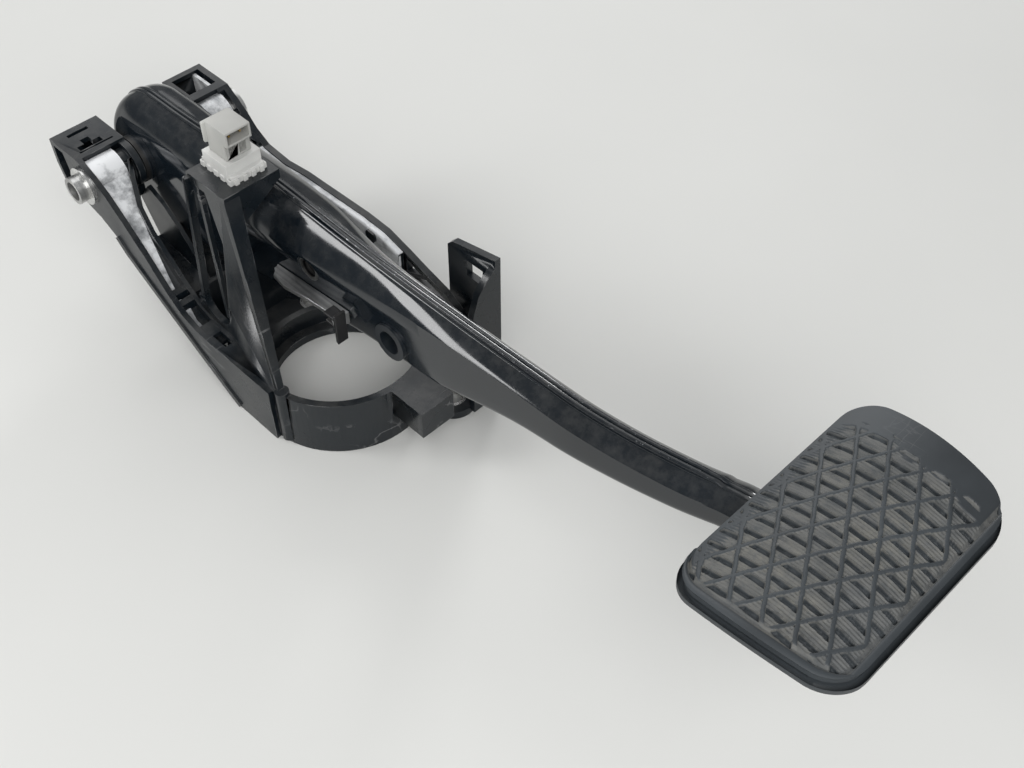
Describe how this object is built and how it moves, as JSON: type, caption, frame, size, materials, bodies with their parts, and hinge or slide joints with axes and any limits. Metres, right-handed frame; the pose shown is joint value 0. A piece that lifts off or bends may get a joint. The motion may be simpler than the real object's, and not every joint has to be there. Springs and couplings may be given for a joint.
{
  "type": "brake pedal",
  "caption": "Hanging brake pedal with a curved rubber pad and a hollow two-shell arm, hinged on a tube in a ribbed pedal bracket that carries a stop light switch.",
  "frame": {"origin": "centre of the round pushrod opening on the flat mounting face", "axes": "+X from the opening towards the pad, +Y along the pivot to the right arm, +Z off the mounting face to the pad's tread"},
  "size_m": [0.3988, 0.1065, 0.1275],
  "materials": {
    "black_moulding": "satin",
    "insert_steel": "rolled",
    "sleeve_steel": "turned",
    "tube_steel": "turned",
    "arm_paint": "gloss",
    "bush_plastic": "satin",
    "switch_white": "satin",
    "switch_grey": "satin",
    "terminal_brass": "plain",
    "clip_plastic": "satin",
    "pad_rubber": "matte"
  },
  "bodies": {
    "bracket": {"bracket_moulding": "black_moulding", "insert_left": "insert_steel", "insert_right": "insert_steel", "base_sleeves": "sleeve_steel", "pivot_tube": "tube_steel", "tube_washers": "tube_steel", "switch_collar": "switch_white", "switch_barrel": "switch_white", "switch_housing": "switch_grey", "switch_terminals": "terminal_brass"},
    "plunger": {"switch_plunger": "switch_white"},
    "pedal": {"shell_left": "arm_paint", "shell_right": "arm_paint", "hub_sleeve": "arm_paint", "hub_bush_left": "bush_plastic", "hub_bush_right": "bush_plastic", "spacer_tube": "tube_steel", "eye_bush": "tube_steel", "clip_tongue": "arm_paint", "pin_clip": "clip_plastic", "contact_plate": "arm_paint", "pad_plate": "arm_paint", "pad_rubber": "pad_rubber"}
  },
  "joints": [
    {"name": "pedal_hinge", "type": "hinge", "parent": "bracket", "child": "pedal", "pos_m": [-0.111, 0, 0.068], "axis": [0, 1, 0], "range_deg": [0, 9], "stiffness_Nm_per_rad": 8, "springref_deg": -20.05},
    {"name": "plunger_slide", "type": "slide", "parent": "bracket", "child": "plunger", "axis": [0, 0, -1], "range_m": [0, 0.004]}
  ],
  "couplings": [
    {"joint": "plunger_slide", "follows": "pedal_hinge", "m_per_rad": 0.025}
  ]
}
